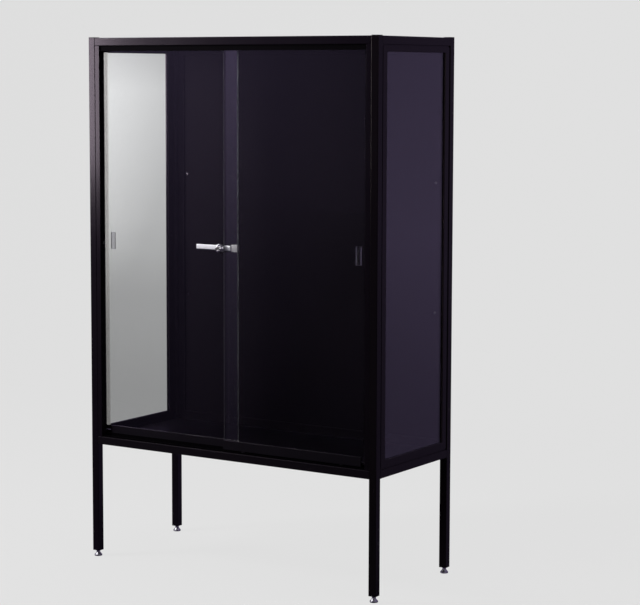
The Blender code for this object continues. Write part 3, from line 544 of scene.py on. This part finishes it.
def addFoot(s, place, x, y):
    # turned foot: rounded rim, hollowed cone, hexagon neck, and a stud
    # whose radius rises and falls along a helix
    turn = np.linspace(-np.pi / 2, np.pi / 2, s["rimRings"])
    half = s["rimHeight"] / 2
    bulge = half * s["rimBulge"]
    rimR = s["rim"] - bulge + bulge * np.cos(turn)
    rimZ = half + half * np.sin(turn)
    t = onwards(0.0, 1.0, s["coneRings"])
    coneR = rimR[-1] + (s["neckFlat"] - rimR[-1]) * t ** s["coneHollow"]
    coneZ = s["rimHeight"] + (s["coneTop"] - s["rimHeight"]) * t
    neckZ = np.linspace(s["neckLow"], s["neckTop"], s["neckRings"])
    neckR = np.full_like(neckZ, s["neckFlat"])
    studZ = np.arange(s["studLow"], s["studTop"], s["pitch"] / s["ringsPerPitch"])
    studR = np.full_like(studZ, s["stud"])
    radius = np.concatenate([[poleRadius], rimR, coneR, neckR, studR, [poleRadius]])
    along = np.concatenate([[0.0], rimZ, coneZ, neckZ, studZ, studZ[-1:]])
    angle = fullTurn(s["steps"])
    across, upright, height = turnedGrid(radius, along, angle)
    isNeck = ((along > s["coneTop"]) & (along <= s["neckTop"]))[:, None]
    sector = (angle + np.pi / 6) % (np.pi / 3) - np.pi / 6
    hexagon = np.minimum(1.0 / np.cos(sector), s["neckCorner"])[None, :]
    isStud = ((along > s["neckTop"]) & (radius > poleRadius))[:, None]
    wave = np.abs((height / s["pitch"] - angle[None, :] / (2 * np.pi)) % 1.0 - 0.5) * 2.0
    scale = np.where(isNeck, hexagon, np.where(isStud, 1.0 - wave * s["thread"] / s["stud"], 1.0))
    obj = gridMesh("foot_" + place, np.stack([x + across * scale, y + upright * scale, height], axis=-1))
    finishPiece(obj, "zinc", "foot_" + place, "levelling_foot_" + place)


for depthName, depthSign in (("front", -1.0), ("rear", 1.0)):
    for sideName, sideSign in (("left", -1.0), ("right", 1.0)):
        addFoot(footSet, depthName + "_" + sideName, sideSign * footSet["x"], depthSign * footSet["y"])
print("feet made")

barSet = {
    "end": -0.11025, "stepStart": -0.00355, "plateStart": -0.00105, "bend": 0.01905, "lipEnd": 0.00805,
    "barY": -0.1683, "plateY": -0.1658, "lipY": -0.1582, "bendRadius": 0.0014, "half": 0.00100,
    "middle": 0.8596, "barHalf": 0.00625, "hookHalf": 0.0095, "power": 7.0, "around": 40,
    "toothFirst": -0.107125, "toothCount": 24, "toothPitch": 0.003, "toothDepth": 0.0011, "toothSlope": 1.3,
    "noseLength": 0.0018, "noseTip": 0.72, "noseLeast": 0.14142, "sharp": 40.0,
    # points along the bar, its step, the plate, each bend, the fold and the lip
    "barPoints": 380, "stepPoints": 8, "platePoints": 17, "bendPoints": 6, "foldPoints": 4, "lipPoints": 7,
}


def barPath(s):
    # plan of the strip: along the bar, over the joggle, along the plate, round the pane's edge and back
    r = s["bendRadius"]
    turn = onwards(0.0, np.pi / 2, s["bendPoints"])
    barX = np.linspace(s["end"], s["stepStart"], s["barPoints"])
    ease = onwards(0.0, 1.0, s["stepPoints"])
    stepX = s["stepStart"] + (s["plateStart"] - s["stepStart"]) * ease
    stepY = s["barY"] + (s["plateY"] - s["barY"]) * (3 * ease ** 2 - 2 * ease ** 3)
    plateX = onwards(s["plateStart"], s["bend"] - r, s["platePoints"])
    firstX = s["bend"] - r + r * np.sin(turn)
    firstY = s["plateY"] + r - r * np.cos(turn)
    foldY = onwards(firstY[-1], s["lipY"] - r, s["foldPoints"])
    lastX = s["bend"] - r + r * np.cos(turn)
    lastY = s["lipY"] - r + r * np.sin(turn)
    lipX = onwards(lastX[-1], s["lipEnd"], s["lipPoints"])
    x = [barX, stepX, plateX, firstX, np.full_like(foldY, s["bend"]), lastX, lipX]
    y = [
        np.full_like(barX, s["barY"]), stepY, np.full_like(plateX, s["plateY"]), firstY, foldY, lastY,
        np.full_like(lipX, s["lipY"]),
    ]
    return np.concatenate(x), np.concatenate(y)


def roundedBox(angle, power):
    # superellipse of unit reach: cosine and sine, each drawn out by the same power
    wide, tall = np.cos(angle), np.sin(angle)
    return np.sign(wide) * np.abs(wide) ** (2.0 / power), np.sign(tall) * np.abs(tall) ** (2.0 / power)


def addLockBar(s):
    # a rounded-box section swept along the plan; its lower edge steps in saw teeth and its end is rounded
    x, y = barPath(s)
    wide, up = roundedBox(fullTurn(s["around"]), s["power"])
    isHook = np.arange(x.size) >= s["barPoints"] + s["stepPoints"]
    tall = np.where(isHook, s["hookHalf"], s["barHalf"])
    count = (x - s["toothFirst"]) / s["toothPitch"]
    toothed = (count > 0.0) & (count < s["toothCount"])
    rise = np.clip(s["toothSlope"] * (1.0 - count % 1.0), 0.0, 1.0)
    tooth = np.where(toothed, s["toothDepth"] * rise, 0.0)
    nose = np.maximum(roundedEnd(x - s["end"], s["noseLength"]), s["noseLeast"])
    high = tall * (s["noseTip"] + (1.0 - s["noseTip"]) * nose)
    z = s["middle"] + up * np.where(up > 0.0, high[:, None], (high - tooth)[:, None])
    points = sweptGrid(x, y, wide * s["half"], z)
    centre = np.broadcast_to(points.mean(axis=1, keepdims=True), points.shape)
    obj = gridMesh("lockBar", np.concatenate([centre[:1], points, centre[-1:]]))
    finishPiece(obj, "satinChrome", "left_door", "lock_bar", s["sharp"])


addLockBar(barSet)

barrelSet = {
    "x": -0.03055, "z": 0.858, "front": -0.1875, "back": -0.1661, "collar": 0.0125, "collarLength": 0.0095,
    "nose": 0.00675, "waist": 0.6, "bore": 0.0053, "boreDepth": 0.0120, "steps": 96,
    "ease": (0.0018, 0.0018, 0.0018, 0.0018, 0.0018, 0.0003),  # the last one is the bore's end
    "slotY": (-0.1696, -0.1670), "slotZ": (0.85305, 0.86615), "slotHalf": 0.02,
}


def easedCorners(corners, ease, steps=6, most=0.45):
    # a polyline whose corners are rounded by quadratic curves; each reaches as far as ease,
    # one value or one for each corner, or as far as a share of the shorter side
    points = np.array(corners, float)
    parts = [points[:1]]
    t = np.linspace(0.0, 1.0, steps)[:, None]
    eases = np.broadcast_to(ease, len(points) - 2)
    for before, at, after, wanted in zip(points, points[1:], points[2:], eases):
        sides = np.linalg.norm(before - at), np.linalg.norm(after - at)
        reach = min(wanted, most * sides[0], most * sides[1])
        start = at + (before - at) / sides[0] * reach
        end = at + (after - at) / sides[1] * reach
        parts.append((1 - t) ** 2 * start + 2 * t * (1 - t) * at + t ** 2 * end)
    parts.append(points[-1:])
    return np.concatenate(parts)


def turnedPiece(name, s, profile):
    # a profile of (radius, Y) turned round the lock's axis
    across, upright, along = turnedGrid(profile[:, 0], profile[:, 1], fullTurn(s["steps"]))
    return gridMesh(name, np.stack([s["x"] + across, along, s["z"] + upright], axis=-1))


def addBarrel(s):
    # turned barrel: collar at the back, a cone to the nose, and a blind bore for the plug; a slot for the bar
    front, back, end = s["front"], s["back"], s["front"] + s["boreDepth"]
    shoulder = back - s["collarLength"]
    waist = (0.5 * (s["collar"] + s["nose"]), shoulder + s["waist"] * (front - shoulder))
    corners = [
        (0.0, back), (s["collar"], back), (s["collar"], shoulder), waist, (s["nose"], front),
        (s["bore"], front), (s["bore"], end), (0.0, end),
    ]
    obj = turnedPiece("lockBarrel", s, easedCorners(corners, s["ease"]))
    finishPiece(obj, "polishedChrome", "lock_barrel", "lock_barrel")
    low = (s["x"] - s["slotHalf"], s["slotY"][0], s["slotZ"][0])
    high = (s["x"] + s["slotHalf"], s["slotY"][1], s["slotZ"][1])
    cutAway(obj, low, high)


addBarrel(barrelSet)

plugSet = {
    "x": barrelSet["x"], "z": barrelSet["z"], "front": barrelSet["front"], "length": 0.0117, "radius": 0.0050,
    "land": 0.0040, "dish": 0.0004, "dishRadius": 0.0035, "ease": 0.0004, "steps": 64,
    "keyHalf": 0.0006, "keyTall": 0.00325, "keyDepth": 0.004, "wardHalf": 0.0011, "wardTall": 0.0012,
    "cutAhead": 0.001,  # how far the cutter starts before the face
}


def addPlug(s):
    # turned plug with a dished face, and a keyway cut as a tall slot with a wider ward
    front, end, dish = s["front"], s["front"] + s["length"], s["front"] + s["dish"]
    corners = [
        (0.0, end), (s["radius"], end), (s["radius"], front), (s["land"], front),
        (s["dishRadius"], dish), (0.0, dish),
    ]
    obj = turnedPiece("lockPlug", s, easedCorners(corners, s["ease"]))
    finishPiece(obj, "plugMetal", "lock_plug", "lock_plug")
    ward = s["keyTall"] - s["wardTall"]
    for half, bottom in ((s["keyHalf"], -s["keyTall"]), (s["wardHalf"], ward)):
        low = (s["x"] - half, front - s["cutAhead"], s["z"] + bottom)
        high = (s["x"] + half, front + s["keyDepth"], s["z"] + s["keyTall"])
        cutAway(obj, low, high)


addPlug(plugSet)
print("lock made")

sealSet = {
    "edge": 0.4275, "tip": 0.4065, "low": 0.3613, "high": 1.3610, "half": 0.0005, "tipHalf": 0.0003,
    "bend": 0.0022, "around": 32, "left": (-0.1658, -0.1582), "right": (-0.1788, -0.1712),
    "tipSteps": (0.0, 0.08, 0.3, 0.6, 1.0), "lipPoints": 6, "bendPoints": 8,
}


def sealPath(s, front, back):
    # plan of the channel: front lip, a quarter turn, the web, a quarter turn, back lip; X counts outwards
    r = s["bend"]
    tip = s["tip"] + s["tipHalf"] * np.array(s["tipSteps"])
    quarter = np.linspace(0.0, np.pi / 2, s["bendPoints"])
    centreX = s["edge"] - s["half"] - r
    lipX = np.concatenate([tip, np.linspace(tip[-1], centreX, s["lipPoints"])[1:-1]])
    halfX = np.concatenate([lipX, centreX + r * np.sin(quarter)])
    inward = s["half"] + np.concatenate([np.zeros(lipX.size), r - r * np.cos(quarter)])
    return np.concatenate([halfX, halfX[::-1]]), np.concatenate([front + inward, (back - inward)[::-1]])


def addSeal(s, side):
    # a strip as tall as the pane, its thickness thinning to round lips, carried along the channel's plan
    x, y = sealPath(s, *s[side])
    depth = x - s["tip"]
    half = np.interp(depth, [0.0, s["edge"] - s["tip"] - s["bend"]], [s["tipHalf"], s["half"]])
    angle = fullTurn(s["around"])
    out = (half * roundedEnd(depth, s["tipHalf"]))[:, None] * np.cos(angle)
    isUpper = np.arange(s["around"]) <= s["around"] // 2
    ends = np.where(isUpper, s["high"] - s["half"], s["low"] + s["half"])
    points = sweptGrid(x, y, out, ends + s["half"] * np.sin(angle))
    points[..., 0] *= -1.0 if side == "left" else 1.0
    obj = gridMesh("edgeSeal_" + side, points)
    finishPiece(obj, "smokeVinyl", side + "_door", "edge_seal_" + side)


for sealSide in ("left", "right"):
    addSeal(sealSet, sealSide)
print("seals made")

screwSet = {
    "head": 0.0036, "tall": 0.0018, "skirt": 0.0007, "rings": 22, "steps": 64,
    "crossHalf": 0.00055, "crossReach": 0.0019, "crossWall": 0.0002, "crossEnd": 0.0003, "deep": 0.0011,
    "beadX": 0.4347, "beadY": 0.1485, "beadZ": 0.853,
    "backY": 0.1845, "backX": 0.416, "backRows": (0.345, 1.364), "sideRows": (0.600, 0.855, 1.110),
}


def screwGrid(s):
    # pan head as a height over a polar grid: a dome less a cross recess with sloping walls
    radius = np.append(np.linspace(0.0, s["head"], s["rings"]), s["head"])
    across, upright, ratio = turnedGrid(radius, radius / s["head"], fullTurn(s["steps"]))
    dome = s["skirt"] + (s["tall"] - s["skirt"]) * np.sqrt(np.clip(1.0 - ratio ** 3, 0.0, 1.0))
    short = np.minimum(np.abs(across), np.abs(upright))
    long = np.maximum(np.abs(across), np.abs(upright))
    slot = np.clip((s["crossHalf"] - short) / s["crossWall"] + 0.5, 0.0, 1.0)
    slot = slot * np.clip((s["crossReach"] - long) / s["crossEnd"] + 0.5, 0.0, 1.0)
    height = dome - s["deep"] * slot
    height[-1] = 0.0
    return across, upright, height


def addScrews(s, name, places, facing, replaces=None):
    # one mesh of heads at the places; facing turns the head's axis to +X, -X or +Y
    across, upright, height = screwGrid(s)
    head = {
        "+X": (height, across, upright), "-X": (-height, across, upright), "+Y": (across, height, upright),
    }[facing]
    obj = gridMesh(name, np.stack(head, axis=-1) + np.array(places)[:, None, None, :])
    finishPiece(obj, "blackPaint", "case", replaces)


def backScrewPlaces(s):
    # a row of three along each end, and screws down both sides between them
    rows = [(x, s["backY"], z) for x in (-s["backX"], 0.0, s["backX"]) for z in s["backRows"]]
    return rows + [(x, s["backY"], z) for x in (-s["backX"], s["backX"]) for z in s["sideRows"]]


beadPlace = (screwSet["beadX"], screwSet["beadY"], screwSet["beadZ"])
addScrews(screwSet, "beadScrewLeft", [(-beadPlace[0], *beadPlace[1:])], "+X", "bead_screw_left")
addScrews(screwSet, "beadScrewRight", [beadPlace], "-X", "bead_screw_right")
addScrews(screwSet, "backScrews", backScrewPlaces(screwSet), "+Y")
print("screws made")


# Stage: floor that sweeps up into a backdrop, seen only from the object's side
stageSet = {
    "front": -12.0, "back": 3.2, "half": 14.0, "rise": 9.0, "sweep": 1.2,
    "floorPoints": 8, "sweepPoints": 12, "wallPoints": 7, "widePoints": 5,
    "pale": 0.785, "glow": 0.92, "floorColour": (0.72, 0.72, 0.72), "floorRough": 0.9,
    "behindY": (-0.6, 0.6),  # from what lies in front of the object to what lies behind it
    # seen through panes: brightest at the upper left of the wall behind
    "throughTop": 0.84, "throughMid": 0.655, "throughLow": 0.47, "throughFloor": 0.34, "throughFront": 0.60,
    "lowBand": (0.30, 0.62), "highBand": (0.62, 1.25), "floorBand": (0.0, 0.5),
    "throughEdge": 0.76, "edgeBand": (1.22, 1.45),
    "throughLeft": 1.16, "throughRight": 0.84, "leanX": (-3.15, -2.75), "leanBand": (0.15, 0.55),
    # seen in mirrors: dim and plum, the front brightest to the left
    "tint": (0.68, 0.53, 1.0), "mirrorTop": 0.28, "mirrorLow": 0.17, "mirrorBand": (0.0, 0.6),
    "nearFloor": 0.045, "farFloor": 0.16, "floorReach": (-1.0, -11.0),
    "rightShare": 0.22,  # how much of the front is left in mirrors that look straight ahead
    "leftSlope": (0.56, 0.80),  # X over Y, from straight ahead to 39 degrees left
}
white = (1.0, 1.0, 1.0)


def glow(tree, colour, strength):
    return addNode(tree, "ShaderNodeEmission", {"Color": colour, "Strength": strength}).outputs[0]


def leftShare(tree, s, place):
    # the front is brightest to the left
    return ramp(tree, calc(tree, "DIVIDE", place["X"], place["Y"]), *s["leftSlope"], s["rightShare"], 1.0)


def inMirror(tree, path):
    # 1 once a ray has been mirrored, on metal, paint or glass
    return calc(tree, "MINIMUM", path["Glossy Depth"], 1.0)


def sweepMaterial(s):
    mat, tree, shader = newMaterial("paleSweep")
    path = addNode(tree, "ShaderNodeLightPath").outputs
    place = splitAxes(tree, objectPlace(tree))
    behind = ramp(tree, place["Y"], *s["behindY"])
    setInputs(tree, shader, {
        "Base Color": s["floorColour"], "Roughness": s["floorRough"], "Specular IOR Level": 0.0,
    })
    # what the camera sees: an even pale tone that still takes some shadow
    seen = mixShader(tree, s["glow"], shader.outputs[0], glow(tree, white, s["pale"]))
    # through panes: a wall that darkens downwards and a dimmer floor
    wall = ramp(tree, place["Z"], *s["lowBand"], s["throughLow"], s["throughMid"])
    wall = blend(tree, ramp(tree, place["Z"], *s["highBand"]), wall, s["throughTop"])
    wall = calc(tree, "MULTIPLY", wall, ramp(tree, place["Z"], *s["edgeBand"], 1.0, s["throughEdge"]))
    lean = ramp(tree, place["X"], *s["leanX"], s["throughLeft"], s["throughRight"])
    wall = calc(tree, "MULTIPLY", wall, blend(tree, ramp(tree, place["Z"], *s["leanBand"]), 1.0, lean))
    rear = blend(tree, ramp(tree, place["Z"], *s["floorBand"]), s["throughFloor"], wall)
    through = blend(tree, behind, s["throughFront"], rear)
    # in mirrors: a dim wall behind, and a floor in front that lightens with distance
    mirrorWall = ramp(tree, place["Z"], *s["mirrorBand"], s["mirrorLow"], s["mirrorTop"])
    mirrorFloor = ramp(tree, place["Y"], *s["floorReach"], s["nearFloor"], s["farFloor"])
    mirrorFront = calc(tree, "MULTIPLY", mirrorFloor, leftShare(tree, s, place))
    mirror = blend(tree, behind, mirrorFront, mirrorWall)
    result = mixShader(tree, path["Is Camera Ray"], shader.outputs[0], seen)
    result = mixShader(tree, path["Is Transmission Ray"], result, glow(tree, white, through))
    result = mixShader(tree, inMirror(tree, path), result, glow(tree, s["tint"], mirror))
    clear = addNode(tree, "ShaderNodeBsdfTransparent").outputs[0]
    away = addNode(tree, "ShaderNodeNewGeometry").outputs["Backfacing"]
    setInputs(tree, tree.nodes["Material Output"], {"Surface": mixShader(tree, away, result, clear)})
    mat.cycles.emission_sampling = "NONE"
    return mat


def addStage(s):
    # profile: flat floor, quarter circle, upright wall, carried across X
    start = s["back"] - s["sweep"]
    angle = onwards(0.0, np.pi / 2, s["sweepPoints"])
    floorY = np.linspace(s["front"], start, s["floorPoints"])
    wallZ = onwards(s["sweep"], s["rise"], s["wallPoints"])
    y = np.concatenate([floorY, start + s["sweep"] * np.sin(angle), np.full_like(wallZ, s["back"])])
    z = np.concatenate([np.zeros_like(floorY), s["sweep"] * (1.0 - np.cos(angle)), wallZ])
    x = np.linspace(-s["half"], s["half"], s["widePoints"])
    gridX, gridY = np.meshgrid(x, y, indexing="ij")
    points = np.stack([gridX, gridY, np.broadcast_to(z, gridX.shape)], axis=-1)
    obj = gridMesh("backdropSweep", points, closed=False)
    obj.data.shade_smooth()
    obj.data.materials.append(sweepMaterial(s))


addStage(stageSet)


# Light: a high soft box on the left, a card beside it for the left post, a weak fill, and a soft top light
lightSet = {
    "key": {"place": (-1.80, -1.45, 2.45), "aim": (-0.20, 0.0, 0.9), "size": (0.6, 0.7), "watts": 32.0},
    "postCard": {
        "place": (-1.83, -1.57, 1.36), "aim": (-0.44, -0.18, 1.2), "size": (0.35, 0.85), "watts": 17.0,
    },
    "fill": {"place": (3.6, -1.2, 2.2), "aim": (0.2, 0.0, 0.8), "size": (1.2, 2.0), "watts": 12.0},
    "top": {"place": (0.2, 0.4, 3.4), "aim": (0.0, 0.0, 0.0), "size": (2.4, 1.6), "watts": 22.0},
}


def addLight(name, s):
    data = bpy.data.lights.new(name, "AREA")
    data.shape = "RECTANGLE"
    data.size, data.size_y = s["size"]
    data.energy = s["watts"]
    lamp = placeObject(name, data)
    lamp.location = s["place"]
    away = np.array(s["place"]) - np.array(s["aim"])
    away = away / np.linalg.norm(away)
    lamp.rotation_euler = (math.acos(away[2]), 0.0, math.atan2(away[1], away[0]) + math.pi / 2)


for lightName, lightValues in lightSet.items():
    addLight(lightName, lightValues)

roomSet = {
    "seen": 0.745, "through": 0.60, "ambient": 0.07,
    "frontLow": 0.16, "frontTop": 0.36, "frontBand": (-0.065, 0.03),
    "tint": stageSet["tint"], "rightShare": stageSet["rightShare"], "leftSlope": stageSet["leftSlope"],
}


def addRoom(s):
    # the world's strength: even for the camera and through panes, dim as a light,
    # and in mirrors rising with height
    world = bpy.data.worlds.new("studioRoom")
    bpy.context.scene.world = world
    world.use_nodes = True
    tree = world.node_tree
    path = addNode(tree, "ShaderNodeLightPath").outputs
    look = splitAxes(tree, addNode(tree, "ShaderNodeTexCoord").outputs["Generated"])
    mirrored = inMirror(tree, path)
    strength = blend(tree, path["Is Camera Ray"], s["ambient"], s["seen"])
    strength = blend(tree, path["Is Transmission Ray"], strength, s["through"])
    height = ramp(tree, look["Z"], *s["frontBand"], s["frontLow"], s["frontTop"])
    front = calc(tree, "MULTIPLY", height, leftShare(tree, s, look))
    setInputs(tree, tree.nodes["Background"], {
        "Strength": blend(tree, mirrored, strength, front),
        "Color": mixColour(tree, mirrored, white, s["tint"]),
    })
    world.cycles.sampling_method = "NONE"


addRoom(roomSet)
bpy.context.scene.view_settings.view_transform = "Standard"
print("stage and light set")
